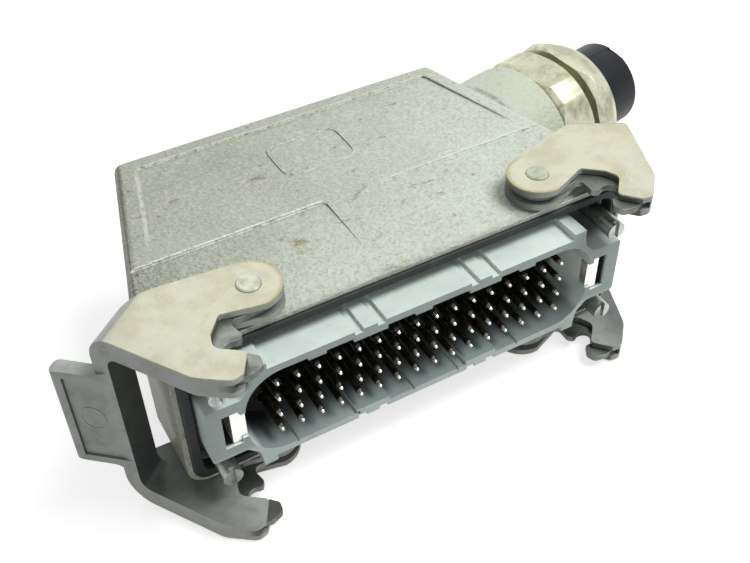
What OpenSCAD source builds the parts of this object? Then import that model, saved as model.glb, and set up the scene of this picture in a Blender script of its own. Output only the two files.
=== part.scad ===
// Heavy duty rectangular connector: a 64-way male insert in a die-cast hood
// with a side cable gland and two locking levers.
// Frame: X along the hood, -Y the way the connector plugs in, Z across the
// broad faces. The origin is the centre of the contact grid at the pin tips.

/* [Hood] */
// Length of the hood at its rim
hood_length = 120; // [110:0.5:144]
// Depth of the hood over its two broad faces
hood_depth = 42.2; // [41.5:0.1:51]
// Height of the hood from rim to back
hood_height = 70.2; // [62:0.1:86]
// Length of the hood across its back
back_length = 94; // [78:0.5:112]
// Wall of the casting
hood_wall = 3.7; // [3:0.1:4.5]
// Distance from the rim to the shoulder where the ends start to slope
shoulder_drop = 20.7; // [17:0.1:25]
// Radius of the casting's edges at the rim
rim_radius = 5; // [4:0.1:6]
// Radius of the casting's edges at the back
back_radius = 2.6; // [2.4:0.1:4]
// How far the broad faces swell out past the rim
face_swell = 0.5; // [0.3:0.1:0.8]

/* [Seal] */
// Height of the seal's seat below the rim
seal_seat = 2.9; // [2:0.1:3.5]
// How far the seal stands out of the rim
seal_proud = 0.8; // [0.4:0.1:1.2]
// Thickness of the lip around the seal
seal_lip = 1.3; // [1:0.1:1.6]

/* [Insert] */
// Pitch of the contacts both ways
pitch = 5.08; // [4.9:0.01:5.2]
// Number of contacts in a row
pin_columns = 16; // [4:2:16]
// Number of rows of contacts
pin_rows = 4; // [2:2:4]
// Diameter of a contact pin
pin_d = 1.6; // [1.2:0.05:2]
// Outer depth of the shroud
shroud_depth = 29; // [27:0.5:31]
// Thickness of the shroud's long walls
shroud_wall = 1.9; // [1.4:0.1:2.4]
// Depth of the shroud's cavity
shroud_reach = 12.5; // [11:0.1:14]
// Thickness of the insert's flange
flange_thick = 4; // [3:0.1:5]
// Length of the moulded block behind the flange
block_length = 21; // [18:0.5:26]
// Diameter of a fixing screw's head
screw_head_d = 4.8; // [4.6:0.1:6.4]
// Diameter of a fixing screw's shank
screw_d = 3.9; // [3.4:0.1:4.2]

/* [Levers] */
// Distance of each lever's pivot from the hood's end
pivot_inset = 22.6; // [21:0.1:25]
// Distance of the pivots from the rim
pivot_drop = 6; // [5:0.1:8]
// Diameter of a pivot pin
pivot_d = 5.5; // [4.5:0.1:6.5]
// Thickness of a lever's arm over both of its layers
arm_thick = 5.3; // [5:0.1:6.4]
// Thickness of each layer of an arm
layer_thick = 1.6; // [1.3:0.05:1.7]
// Thickness of the steel hook plates
hook_thick = 1.7; // [1.2:0.05:1.8]
// Thickness of a lever's bridge
bridge_thick = 4.3; // [3.4:0.1:5]
// How far the right lever stands open past the left one
right_lever_angle = 10.5; // [0:0.5:12]

/* [Gland] */
// Angle of the cable outlet towards the back
outlet_angle = 12.6; // [0:0.1:20]
// Distance of the outlet's centre from the hood's back
outlet_drop = 18.6; // [18:0.1:24]
// Diameter of the hood's neck
neck_d = 41; // [38:0.1:41.4]
// Distance of the neck's end from the middle of the hood's rim end
neck_reach = 7.4; // [4:0.1:12]
// Size of the gland's body across its turned corners
hex_corners = 41.4; // [40:0.1:46]
// Size of the gland's body across its flats
hex_flats = 38.6; // [36:0.1:42]
// Length of the gland body's hexagon
hex_length = 11.6; // [9:0.1:14]
// Size of the gland's nut across its turned corners
nut_corners = 42.8; // [42:0.1:46]
// Size of the gland's nut across its flats
nut_flats = 38.8; // [36.6:0.1:40]
// Length of the gland's nut
nut_length = 8.8; // [8:0.1:12]
// Diameter of the bush that the cable leaves through
bush_d = 25.8; // [22:0.1:26.4]
// How far the bush stands out of the nut
bush_reach = 17.9; // [12:0.1:24]
// Diameter of the cable passage
cable_d = 19.2; // [14:0.1:20]

/* [Hidden] */
$fn = 64;

// clearances between pieces
fit_gap = 0.1;      // pieces that fit into each other and never move
running_gap = 0.05; // radial play of a pivot
thread_gap = 0.04;  // radial play of what is screwed or pressed in
hole_gap = 0.2;     // radial play of a hole that a screw passes
eps = 0.01;         // overlap that keeps cuts clean

// the hood
rim_y = 6.3;
half_length = hood_length / 2;
half_depth = hood_depth / 2;
back_y = rim_y + hood_height;
shoulder_y = rim_y + shoulder_drop;
shoulder_half = half_length - 0.2;
shoulder_radius = 3.6;
field_depth = 0.55;
cavity_half = half_length - seal_lip - 2.7;
cavity_depth = half_depth - hood_wall;
face_top = half_depth + face_swell;

// the insert
mating_y = -0.5;
flange_y = mating_y + shroud_reach;
flange_back_y = flange_y + flange_thick;
strip_thick = 1.2;
boss_y = flange_back_y + strip_thick;
insert_half = cavity_half - 0.7;
insert_z = cavity_depth - 0.5;
screw_x = insert_half - 3.3;
screw_z = insert_z - 3.4;
boss_radius = 4.4;
thread_reach = 14;
shroud_half = insert_half - 11.5;
shroud_z = shroud_depth / 2;
shroud_end = insert_half - 8.8;
end_wall_radius = 9.5;
ear_half = insert_half + 0.2;
ear_root = insert_half - 8.1;
ear_z = 8.3;
window_x = [insert_half - 7.5, insert_half - 3.3];
window_z = 5.2;
tongue_thick = 2;
tongue_y = 0.2;
notch_x = insert_half - 8.9;
notch_z = 3.9;
notch_depth = 3;
earth_screw_x = insert_half - 3.1;
earth_head_r = 3.3;
slot_width = 1.2;
slot_depth = 1.1;

// the levers
pivot_x = half_length - pivot_inset;
pivot_y = rim_y + pivot_drop;
arm_gap = 0.4;
arm_low = face_top + arm_gap;
arm_top = arm_low + arm_thick;
slot_low = arm_low + layer_thick;
slot_top = arm_top - layer_thick;
arm_end_radius = 7.4;
hook_ring_radius = 6.2;
bridge_angle = 50;
bridge_face = 25.3;
bend_radius = 7;
bridge_back = 16.6;
pin_head = 0.5;
rivet_at = [13.6, -19.5];
rivet_r = 1.5;

// the gland
neck_root = 24;
gland_origin = [half_length, back_y - outlet_drop, 0];
hex_start = neck_reach + 1.2;
hex_end = hex_start + hex_length;
nut_start = hex_end + 2.0;
nut_end = nut_start + nut_length;
nut_wall = 3.2;
collar_r = 16.2;
collar_end = nut_start + 2.6;
body_twist = 35;
nut_twist = 38;
hexagon_chamfer = 1.4;
nipple_r = 14.8;
nipple_length = 13;
washer_r = nipple_r + 2.6;
grommet_r = 14;

PAINT = "#c9c9bf";
CREAM = "#dcd7bd";
MOULDING = "#aab4b6";
STEEL = "#b9bcc0";
ZINC = "#cdd2d6";
NICKEL = "#c8c6b2";
RUBBER = "#2d3033";
BUSH_BLACK = "#1d262e";
TIN = "#dfe2e4";

// ---------------------------------------------------------------- helpers

function unit(v) = v / norm(v);

// the arc that replaces the corner c between its neighbours p and n
function corner_arc(p, c, n, r) =
    r <= 0 ? [c] :
    let (a = unit(p - c), b = unit(n - c),
         half = acos(a * b) / 2,
         reach = r / tan(half),
         centre = c + unit(a + b) * r / sin(half),
         from = c + a * reach - centre,
         bend = 180 - 2 * half,
         turn = (a[0] * b[1] - a[1] * b[0] > 0 ? -1 : 1) * bend,
         steps = max(2, ceil(sqrt(r) * bend / 22)))
    [for (i = [0 : steps]) let (t = turn * i / steps)
        centre + [from[0] * cos(t) - from[1] * sin(t), from[0] * sin(t) + from[1] * cos(t)]];

// an outline from corners [x, y, radius], each rounded to its own radius
function rounded_outline(corners) = let (n = len(corners))
    [for (i = [0 : n - 1])
        let (p = corners[(i + n - 1) % n], c = corners[i], q = corners[(i + 1) % n])
        each corner_arc([p[0], p[1]], [c[0], c[1]], [q[0], q[1]], c[2])];

// points of an arc about the pivot, as corners that need no rounding
function arc_about_pivot(r, from, to, steps = 20) =
    [for (i = [0 : steps]) let (t = from + (to - from) * i / steps) [r * cos(t), r * sin(t), 0]];

// a rectangle with true round corners, centred
module rounded_rect(length, width, r) {
    square([length - 2 * r, width], center = true);
    square([length, width - 2 * r], center = true);
    for (x = [-1, 1], y = [-1, 1])
        translate([x * (length / 2 - r), y * (width / 2 - r)]) circle(r);
}

// carries a shape drawn in X and Z along Y, from y0 to y1
module along_y(y0, y1) {
    translate([0, y1, 0]) rotate([90, 0, 0]) linear_extrude(y1 - y0) children();
}

// a rod along Y
module rod_y(x, z, y0, y1, r) {
    translate([x, y1, z]) rotate([90, 0, 0]) cylinder(r = r, h = y1 - y0);
}

// the gland's own frame: +Z along the cable outlet, +X up
module on_outlet() {
    translate(gland_origin) rotate([0, 90, outlet_angle]) children();
}

// a solid of revolution about the outlet from a list of [radius, distance]
module outlet_turned(profile) {
    on_outlet() rotate_extrude($fn = 96) polygon(profile);
}

// ---------------------------------------------------------------- hood

// the casting's outside: its faces swell out past the rim, and its ends slope from the shoulder
module hood_form() {
    swell_y = rim_y + 9.7;
    lip = 2;
    hull()
        for (x = [-1, 1], z = [-1, 1]) {
            translate([x * (half_length - rim_radius), rim_y, z * (half_depth - rim_radius)])
                rotate([-90, 0, 0]) cylinder(r = rim_radius, h = lip, $fn = 32);
            for (y = [swell_y, shoulder_y])
                translate([x * (shoulder_half - shoulder_radius), y, z * (face_top - shoulder_radius)])
                    sphere(r = shoulder_radius, $fn = 24);
            translate([x * (back_length / 2 - back_radius), back_y - back_radius,
                       z * (face_top - back_radius)])
                sphere(r = back_radius, $fn = 24);
        }
}

// a sunk field whose floor falls from its front edge to its back edge
module sunk_field(front_y, field_y, corners) {
    front_drop = 0.1;
    translate([0, front_y, face_top - front_drop])
        rotate([-atan((field_depth - front_drop) / (field_y - front_y)), 0, 0])
            translate([0, -front_y, 0]) linear_extrude(4) polygon(rounded_outline(corners));
}

// the three fields of a broad face: one at the back, and two that leave a stem between them
module sunk_fields() {
    corner = 1.6;
    back_field = [rim_y + 35.2, back_y - 5.4];
    low_field = [rim_y + 10.2, rim_y + 29.2];
    stem_half = 7.5;
    inset = 6.2;
    slope = (shoulder_half - back_length / 2) / (back_y - shoulder_y);
    function side_at(y) = shoulder_half - (y - shoulder_y) * slope - inset;
    front_half = side_at(back_field[0]);
    rear_half = side_at(back_field[1]);
    sunk_field(back_field[0], back_field[1], [
        [-front_half, back_field[0], corner], [-rear_half, back_field[1], corner],
        [rear_half, back_field[1], corner], [front_half, back_field[0], corner]]);
    for (s = [-1, 1])
        sunk_field(low_field[0], low_field[1], [
            [s * stem_half, low_field[0], corner], [s * (half_length + 4), low_field[0], 0],
            [s * (half_length + 4), low_field[1], 0], [s * stem_half, low_field[1], corner]]);
}

module hood_shell() color(PAINT) {
    difference() {
        union() {
            hood_form();
            on_outlet() translate([0, 0, -neck_root])
                cylinder(r = neck_d / 2, h = neck_root + neck_reach, $fn = 96);
        }
        for (side = [0, 1]) mirror([0, 0, side]) sunk_fields();
        hood_cavity();
        on_outlet() translate([0, 0, -neck_root])
            cylinder(r = nipple_r + fit_gap, h = neck_root + neck_reach + 1, $fn = 96);
        // the seal's seat inside the lip
        along_y(rim_y - 1, rim_y + seal_seat)
            rounded_rect(hood_length - 2 * seal_lip, hood_depth - 2 * seal_lip, rim_radius - seal_lip);
        for (x = [-1, 1], side = [0, 1]) mirror([0, 0, side])
            translate([x * pivot_x, pivot_y, cavity_depth - 1])
                cylinder(d = pivot_d + thread_gap, h = hood_wall + 3);
    }
    hood_bosses();
}

// the space inside the casting, a wall in from its outside
module hood_cavity() {
    inner_r = 2.5;
    inner_back = back_length / 2 - hood_wall;
    start_y = shoulder_y - 6;
    hull()
        for (x = [-1, 1], z = [-1, 1]) {
            translate([x * (cavity_half - inner_r), start_y, z * (cavity_depth - inner_r)])
                rotate([-90, 0, 0]) cylinder(r = inner_r, h = shoulder_y - start_y, $fn = 32);
            translate([x * (inner_back - inner_r), back_y - hood_wall - inner_r,
                       z * (cavity_depth - inner_r)])
                sphere(r = inner_r, $fn = 24);
        }
    along_y(rim_y - 1, start_y + 1) rounded_rect(2 * cavity_half, 2 * cavity_depth, inner_r);
}

// the four bosses that the insert is screwed to
module hood_bosses() {
    for (x = [-1, 1], z = [-1, 1])
        difference() {
            intersection() {
                rod_y(x * screw_x, z * screw_z, boss_y, boss_y + thread_reach + 3, boss_radius);
                translate([-half_length + 1.5, 0, -half_depth + 1])
                    cube([hood_length - 3, back_y, hood_depth - 2]);
            }
            rod_y(x * screw_x, z * screw_z, boss_y - 1, boss_y + thread_reach, screw_d / 2 + thread_gap);
        }
}

module rim_seal() color(RUBBER) {
    outer_l = hood_length - 2 * seal_lip - 2 * fit_gap;
    outer_d = hood_depth - 2 * seal_lip - 2 * fit_gap;
    along_y(rim_y - seal_proud, rim_y + seal_seat)
        difference() {
            rounded_rect(outer_l, outer_d, rim_radius - seal_lip - fit_gap);
            rounded_rect(2 * cavity_half + 0.3, 2 * cavity_depth + 0.3, 2.6);
        }
}

// ---------------------------------------------------------------- insert

// the outline of the shroud with its two ears, in X and Z
module shroud_outline() {
    neck = [shroud_half + 0.6, 11];
    polygon(rounded_outline([
        for (s = [1, -1]) each [
            [s * shroud_half, s * shroud_z, 0.4], [s * neck[0], s * neck[1], 2],
            [s * ear_root, s * ear_z, 1.2], [s * ear_half, s * ear_z, 0.8],
            [s * ear_half, -s * ear_z, 0.8], [s * ear_root, -s * ear_z, 1.2],
            [s * neck[0], -s * neck[1], 2], [s * shroud_half, -s * shroud_z, 0.4]]]));
}

// the stepped coding zones: the wall jogs inwards, with a rib left in its middle
module coding_zones(inward) {
    zone = 8;
    rib = 3.4;
    step = 1;
    for (x = [-15.2, 15.2], z = [-1, 1])
        if (inward)
            translate([x, z * (shroud_z - shroud_wall - step / 2)])
                square([zone + 0.6, step + 0.2], center = true);
        else
            for (s = [-1, 1])
                translate([x + s * (zone + rib) / 4, z * (shroud_z - step / 2 + 0.1)])
                    square([(zone - rib) / 2, step + 0.2], center = true);
}

module contact_grid(rows = [0 : pin_rows - 1]) {
    for (row = rows, column = [0 : pin_columns - 1])
        translate([(column - (pin_columns - 1) / 2) * pitch, 0,
                   ((pin_rows - 1) / 2 - row) * pitch])
            children();
}

module insert_body() color(MOULDING) {
    bore_r = 1.35;
    guide = [3.4, 1.7];
    block_end = flange_back_y + block_length;
    difference() {
        union() {
            along_y(mating_y, flange_y + eps) {
                difference() {
                    union() {
                        shroud_outline();
                        // the guide ribs at the ends of the long walls
                        for (x = [-1, 1], z = [-1, 1])
                            translate([x * (shroud_half - guide[0] / 2), z * shroud_z])
                                square([guide[0], 2 * guide[1]], center = true);
                    }
                    difference() {
                        rounded_rect(2 * shroud_end, shroud_depth - 2 * shroud_wall, end_wall_radius);
                        coding_zones(true);
                        for (x = [-28.5, -1.5, 27])
                            translate([x, shroud_z - shroud_wall]) square([4.4, 1.6], center = true);
                    }
                    coding_zones(false);
                    for (x = [-35, -19, -4, 8.5, 26])
                        translate([x, -(shroud_z - shroud_wall)]) square([0.7, 1], center = true);
                }
            }
            along_y(flange_y, flange_back_y) rounded_rect(2 * insert_half, 2 * insert_z, 2.2);
            along_y(flange_back_y - eps, block_end)
                rounded_rect(2 * shroud_end - 6, shroud_depth - 2 * shroud_wall, 2);
        }
        // the earth windows, and the slits that carry the tongues through the flange
        for (side = [0, 1]) mirror([side, 0, 0]) {
            translate([window_x[0], mating_y - 1, -window_z])
                cube([window_x[1] - window_x[0], shroud_reach, 2 * window_z]);
            translate([window_x[0], 0, -window_z])
                cube([tongue_thick + 0.3, flange_back_y + 1, 2 * window_z]);
            // the notch in the cavity's end wall that the tongue's folded lip fills
            translate([notch_x - 1.5, mating_y - 1, -notch_z])
                cube([window_x[0] - notch_x + 2, notch_depth + 1, 2 * notch_z]);
            rod_y(earth_screw_x, 0, flange_y + 0.5, flange_back_y + 1, screw_d / 2 + thread_gap);
        }
        for (x = [-1, 1], z = [-1, 1])
            rod_y(x * screw_x, z * screw_z, flange_y - 1, flange_back_y + 1, screw_d / 2 + hole_gap);
        contact_grid() rod_y(0, 0, flange_y - 1, block_end + 1, bore_r);
    }
}

// one turned contact: a pin with a slender nose, a shoulder and a crimp barrel
module contact() {
    pin_r = pin_d / 2;
    nose_r = pin_r - 0.34;
    nose_end = 1.7;
    barrel_r = 1.25;
    crimp_r = 0.85;
    crimp_depth = 6;
    barrel_end = flange_back_y + block_length + 2;
    rotate([-90, 0, 0]) rotate_extrude($fn = 20)
        polygon([[0, 0], [nose_r - 0.16, 0.08], [nose_r, 0.4], [pin_r, nose_end],
                 [pin_r, flange_y + 0.6], [barrel_r, flange_y + 1], [barrel_r, barrel_end],
                 [crimp_r, barrel_end], [crimp_r, barrel_end - crimp_depth],
                 [0, barrel_end - crimp_depth - 0.5]]);
}

module contact_row(row) color(TIN) contact_grid([row]) contact();
module contact_row_a() contact_row(0);
module contact_row_b() contact_row(1);
module contact_row_c() contact_row(2);
module contact_row_d() contact_row(3);

// the earth contact: a tongue in the ear's window on a strip behind the flange
module earth_contact() {
    strip_width = 7;
    difference() {
        union() {
            translate([window_x[0] + 0.15, tongue_y, -window_z + 0.2])
                cube([tongue_thick, boss_y - tongue_y, 2 * (window_z - 0.2)]);
            translate([notch_x + 0.1, tongue_y, -notch_z + 0.2])
                cube([window_x[0] - notch_x + 0.5, notch_depth - tongue_y + mating_y - 0.1,
                      2 * (notch_z - 0.2)]);
            translate([window_x[0] + 0.15, flange_back_y, -insert_z + 0.3])
                cube([strip_width, strip_thick, 2 * insert_z - 0.6]);
        }
        for (z = [-1, 1])
            rod_y(screw_x, z * screw_z, flange_back_y - 1, boss_y + 1, screw_d / 2 + hole_gap);
        rod_y(earth_screw_x, 0, flange_back_y - 1, boss_y + 1, screw_d / 2 + hole_gap);
    }
}

module earth_contact_right() color(ZINC) earth_contact();
module earth_contact_left() color(ZINC) mirror([1, 0, 0]) earth_contact();

// a slotted screw whose head starts at its own origin and whose shank runs along +Y
module slotted_screw(head_r, head_length, shank_length) {
    difference() {
        union() {
            rod_y(0, 0, 0, head_length, head_r);
            rod_y(0, 0, head_length - eps, head_length + shank_length, screw_d / 2);
        }
        translate([-slot_width / 2, -1, -head_r - 1])
            cube([slot_width, slot_depth + 1, 2 * head_r + 2]);
    }
}

// the long heads stand beside the shroud's ears, where the drivers reach them
module fixing_screws() color(ZINC) {
    head_y = mating_y - 1.5;
    for (x = [-1, 1], z = [-1, 1])
        translate([x * screw_x, head_y, z * screw_z])
            slotted_screw(screw_head_d / 2, flange_y - head_y, boss_y + thread_reach - 2 - flange_y);
}

// these go in from behind and hold the strips to the flange
module earth_screws() color(ZINC) {
    head_length = 2.6;
    for (x = [-1, 1])
        translate([x * earth_screw_x, boss_y + head_length, 0]) mirror([0, 1, 0])
            slotted_screw(earth_head_r, head_length, boss_y - flange_y - 1);
}

// ---------------------------------------------------------------- levers

// an arm's outline about its pivot; +X runs out past the hood's end
module arm_outline() {
    polygon(rounded_outline([
        each arc_about_pivot(arm_end_radius, 264, 94),
        [22.7, 9.4, 3], [31, 9.5, 0], [36, 6, 0],
        [20.3, -18.6, 7], [13.8, -23.4, 2.4], [11.2, -22.6, 1], [8.2, -17.6, 1.2],
        [13.8, -13.4, 2.2], [12.7, -9.6, 1.5], [9.2, -5.3, 1]]));
}

// the slot between an arm's two layers, open towards the pivot and the notch
module slot_outline() {
    polygon([[-12, 14], [19, 14], [19.5, 2], [22, -8.6], [17.2, -16.4], [14.4, -21],
             [12.2, -26], [-12, -26]]);
}

// a prism along the bridge; its section is drawn outwards in X and across the hood in Y
module along_bridge(to = 60) {
    rotate([90, 0, bridge_angle]) translate([0, 0, -60]) linear_extrude(60 + to) children();
}

// the room between the two arms, rounded where they turn into the bridge
module between_arms() {
    inner_r = 3;
    face = bridge_face - bridge_thick;
    translate([-60, -arm_low]) square([60 + face - inner_r, 2 * arm_low]);
    translate([-60, -arm_low + inner_r]) square([60 + face, 2 * (arm_low - inner_r)]);
    for (s = [-1, 1]) translate([face - inner_r, s * (arm_low - inner_r)]) circle(inner_r);
}

// the outside of the two arms and the bridge, with its two rounded bends
module around_arms() {
    translate([-60, -arm_top]) square([60 + bridge_face - bend_radius, 2 * arm_top]);
    translate([-60, -arm_top + bend_radius])
        square([60 + bridge_face, 2 * (arm_top - bend_radius)]);
    for (s = [-1, 1])
        translate([bridge_face - bend_radius, s * (arm_top - bend_radius)]) circle(bend_radius);
}

// the thumb tab on the bridge's front edge, with a sunk panel on its front face
module thumb_tab() {
    tab_angle = 41.6;
    tab_length = 14.2;
    tab_thick = 3.6;
    tab_half = 15;
    lean = 2.2;
    rim = 2.1;
    sink = 0.8;
    corner = 4;
    tab_end = tab_length + lean;
    translate([32.3, 0.3, 0]) rotate([0, 0, tab_angle]) difference() {
        intersection() {
            // the tab seen along the pivot
            translate([0, 0, -tab_half - 4]) linear_extrude(2 * tab_half + 8)
                polygon(rounded_outline([
                    [0.6, 0.2, 0], [tab_length, 0, 0.8], [tab_end, tab_thick, 1.6],
                    [0.6, tab_thick, 0]]));
            // the tab seen from the front
            translate([0, tab_thick + 1, 0]) rotate([90, 0, 0]) linear_extrude(tab_thick + 2)
                polygon(rounded_outline([
                    [-2, -tab_half - 3, 0], [5, -tab_half, 3], [tab_end, -tab_half, corner],
                    [tab_end, tab_half, corner], [5, tab_half, 3], [-2, tab_half + 3, 0]]));
        }
        translate([1, -1, -tab_half + rim]) cube([tab_length - 1 - rim, sink + 1, 2 * (tab_half - rim)]);
    }
}

// a lever about its pivot, as the left one lies on the right-hand side
module lever_frame() {
    difference() {
        union() {
            difference() {
                intersection() {
                    translate([0, 0, -arm_top - 1]) linear_extrude(2 * arm_top + 2) arm_outline();
                    along_bridge() around_arms();
                }
                along_bridge() between_arms();
                // behind the bridge only the two arms go on
                along_bridge(bridge_back) translate([0, -arm_low]) square([60, 2 * arm_low]);
            }
            thumb_tab();
        }
        for (side = [0, 1]) mirror([0, 0, side]) {
            translate([0, 0, slot_low]) linear_extrude(slot_top - slot_low) slot_outline();
            translate([0, 0, arm_low - 1]) cylinder(d = pivot_d + 2 * running_gap, h = arm_thick + 2);
            translate([rivet_at[0], rivet_at[1], slot_low - 0.8])
                cylinder(r = rivet_r + thread_gap / 2, h = slot_top - slot_low + 1.6);
        }
    }
}

// the steel plate between the layers, with the jaw that holds the locking peg
module hook_outline() {
    peg_r = 2.4;
    peg_at = [9.6, -14.5];
    difference() {
        polygon(rounded_outline([
            each arc_about_pivot(hook_ring_radius, 270, 90), [15.5, 6, 3], [18, 0, 2],
            [18.8, -8, 2], [15.6, -16.4, 1],
            [13.8, -21.8, 1.5], [9.5, -22.2, 1.5], [6.4, -21, 1.2], [6, -18.4, 1.2],
            [7.6, -16.8, 0], [7.4, -12.2, 0], [6.6, -11.2, 1], [7.6, -6.6, 1.5]]));
        translate(peg_at) circle(r = peg_r);
        translate([0, peg_at[1] - peg_r + 0.3]) square([peg_at[0], 2 * peg_r - 0.6]);
        circle(d = pivot_d + 2 * running_gap);
        translate(rivet_at) circle(r = rivet_r + 0.1);
    }
}

module hook_plates() {
    low = (slot_low + slot_top - hook_thick) / 2;
    for (side = [0, 1]) mirror([0, 0, side])
        translate([0, 0, low]) linear_extrude(hook_thick) hook_outline();
}

module lever_rivets() {
    for (side = [0, 1]) mirror([0, 0, side])
        translate([rivet_at[0], rivet_at[1], slot_low - 0.7])
            cylinder(r = rivet_r, h = slot_top - slot_low + 1.4);
}

module pivot_pins() {
    for (side = [0, 1]) mirror([0, 0, side])
        rotate_extrude() polygon([[0, cavity_depth + 0.4], [pivot_d / 2, cavity_depth + 0.4],
                                  [pivot_d / 2, arm_top + pin_head - 0.3],
                                  [pivot_d / 2 - 0.3, arm_top + pin_head], [0, arm_top + pin_head]]);
}

module at_right_pivot() translate([pivot_x, pivot_y, 0]) rotate([0, 0, right_lever_angle]) children();
module at_left_pivot() translate([-pivot_x, pivot_y, 0]) mirror([1, 0, 0]) children();

module left_lever_frame() color(CREAM) at_left_pivot() lever_frame();
module right_lever_frame() color(CREAM) at_right_pivot() lever_frame();
module left_hook_plates() color(STEEL) at_left_pivot() hook_plates();
module right_hook_plates() color(STEEL) at_right_pivot() hook_plates();
module left_lever_rivets() color(STEEL) at_left_pivot() lever_rivets();
module right_lever_rivets() color(STEEL) at_right_pivot() lever_rivets();
module left_pivot_pins() color(ZINC) at_left_pivot() pivot_pins();
module right_pivot_pins() color(ZINC) at_right_pivot() pivot_pins();

// ---------------------------------------------------------------- gland

// a hexagon about the outlet whose corners are turned down to a profile of [radius, distance]
module turned_hexagon(flats, from, to, twist, profile) {
    intersection() {
        on_outlet() translate([0, 0, from - 1]) rotate([0, 0, twist])
            cylinder(d = flats / cos(30), h = to - from + 2, $fn = 6);
        outlet_turned([[0, from], each profile, [0, to]]);
    }
}

module gland_washer() color(RUBBER)
    outlet_turned([[nipple_r + 0.2, neck_reach], [washer_r, neck_reach],
                   [washer_r, hex_start], [nipple_r + 0.2, hex_start]]);

module gland_body() color(NICKEL) difference() {
    corner_r = hex_corners / 2;
    union() {
        turned_hexagon(hex_flats, hex_start, hex_end, body_twist,
                       [[corner_r - hexagon_chamfer, hex_start], [corner_r, hex_start + hexagon_chamfer],
                        [corner_r, hex_end - hexagon_chamfer], [corner_r - hexagon_chamfer, hex_end]]);
        outlet_turned([[0, hex_start - nipple_length], [nipple_r, hex_start - nipple_length],
                       [nipple_r, hex_start + 1], [collar_r, hex_start + 1],
                       [collar_r, collar_end], [0, collar_end]]);
    }
    outlet_turned([[0, hex_start - nipple_length - 1], [cable_d / 2 + 0.4, hex_start - nipple_length - 1],
                   [cable_d / 2 + 0.4, hex_start + 4], [grommet_r + fit_gap, hex_start + 4],
                   [grommet_r + fit_gap, collar_end + 1], [0, collar_end + 1]]);
}

module gland_grommet() color(RUBBER)
    outlet_turned([[cable_d / 2 + 0.3, hex_start + 4], [grommet_r, hex_start + 4],
                   [grommet_r, collar_end - 1.5], [cable_d / 2 + 2, collar_end],
                   [cable_d / 2 + 0.3, collar_end]]);

module gland_bush() color(BUSH_BLACK) difference() {
    outlet_turned([[cable_d / 2, collar_end + 0.1], [collar_r - 0.2, collar_end + 0.1],
                   [collar_r - 0.2, nut_end - nut_wall], [bush_d / 2, nut_end - nut_wall],
                   [bush_d / 2, nut_end + bush_reach - 1.6], [bush_d / 2 - 1.6, nut_end + bush_reach],
                   [cable_d / 2, nut_end + bush_reach]]);
    // the notch in the bush's mouth
    on_outlet() rotate([0, 0, 195]) translate([bush_d / 2 - 1.6, -2.5, nut_end + bush_reach - 3])
        cube([4, 5, 5]);
}

// the nut's corners fall away in a dome to a round end
module gland_nut() color(NICKEL) difference() {
    corner_r = nut_corners / 2;
    turned_hexagon(nut_flats, nut_start, nut_end, nut_twist,
                   [[corner_r - hexagon_chamfer, nut_start], [corner_r, nut_start + hexagon_chamfer],
                    [corner_r - 0.3, nut_start + 2.8], [corner_r - 1.2, nut_start + 5],
                    [corner_r - 2.3, nut_end - 1.8], [corner_r - 3, nut_end]]);
    outlet_turned([[0, nut_start - 1], [collar_r + fit_gap, nut_start - 1],
                   [collar_r + fit_gap, nut_end - nut_wall], [bush_d / 2 + fit_gap, nut_end - nut_wall],
                   [bush_d / 2 + fit_gap, nut_end + 1], [0, nut_end + 1]]);
}

hood_shell();
rim_seal();
insert_body();
contact_row_a();
contact_row_b();
contact_row_c();
contact_row_d();
earth_contact_left();
earth_contact_right();
earth_screws();
fixing_screws();
left_pivot_pins();
right_pivot_pins();
left_lever_frame();
right_lever_frame();
left_hook_plates();
right_hook_plates();
left_lever_rivets();
right_lever_rivets();
gland_washer();
gland_body();
gland_grommet();
gland_bush();
gland_nut();
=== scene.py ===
"""Dresses a heavy duty rectangular connector and sets up its plain studio."""

import logging
import math
from dataclasses import dataclass
from enum import Enum
from functools import cached_property, partial, reduce
from typing import Optional, Sequence, Union

import bmesh
import bpy
import numpy as np
from mathutils import Matrix, Vector


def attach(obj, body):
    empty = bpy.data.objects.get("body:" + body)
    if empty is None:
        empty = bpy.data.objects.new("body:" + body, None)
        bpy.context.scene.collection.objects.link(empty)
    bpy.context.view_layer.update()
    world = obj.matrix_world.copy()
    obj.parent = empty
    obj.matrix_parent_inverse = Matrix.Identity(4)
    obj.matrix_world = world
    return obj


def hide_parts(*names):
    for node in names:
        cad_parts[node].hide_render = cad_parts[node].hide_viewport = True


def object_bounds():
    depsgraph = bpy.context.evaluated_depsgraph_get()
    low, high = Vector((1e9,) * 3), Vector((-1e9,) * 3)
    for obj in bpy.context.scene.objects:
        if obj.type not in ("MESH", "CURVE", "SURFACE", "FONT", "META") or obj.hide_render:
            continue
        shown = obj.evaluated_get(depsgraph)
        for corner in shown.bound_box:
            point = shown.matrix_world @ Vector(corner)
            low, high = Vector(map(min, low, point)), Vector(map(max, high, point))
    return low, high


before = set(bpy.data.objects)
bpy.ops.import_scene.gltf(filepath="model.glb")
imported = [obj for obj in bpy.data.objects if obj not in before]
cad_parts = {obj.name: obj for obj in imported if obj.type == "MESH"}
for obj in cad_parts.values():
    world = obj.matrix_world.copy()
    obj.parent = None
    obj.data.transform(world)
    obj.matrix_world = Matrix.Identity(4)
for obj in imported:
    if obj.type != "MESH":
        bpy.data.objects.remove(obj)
CAD_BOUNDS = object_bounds()

LOG = logging.getLogger("connector")
MM = 0.001
WHITE = (1.0, 1.0, 1.0, 1.0)

# Each lever's pivot: its distance from the middle of the hood, and its height.
PIVOT = (37.4 * MM, 12.3 * MM)

# Points nearer than this are one point, and faces within this angle are one face.
MERGE_DISTANCE = 0.002 * MM
FLAT_ANGLE = math.radians(0.6)

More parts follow.
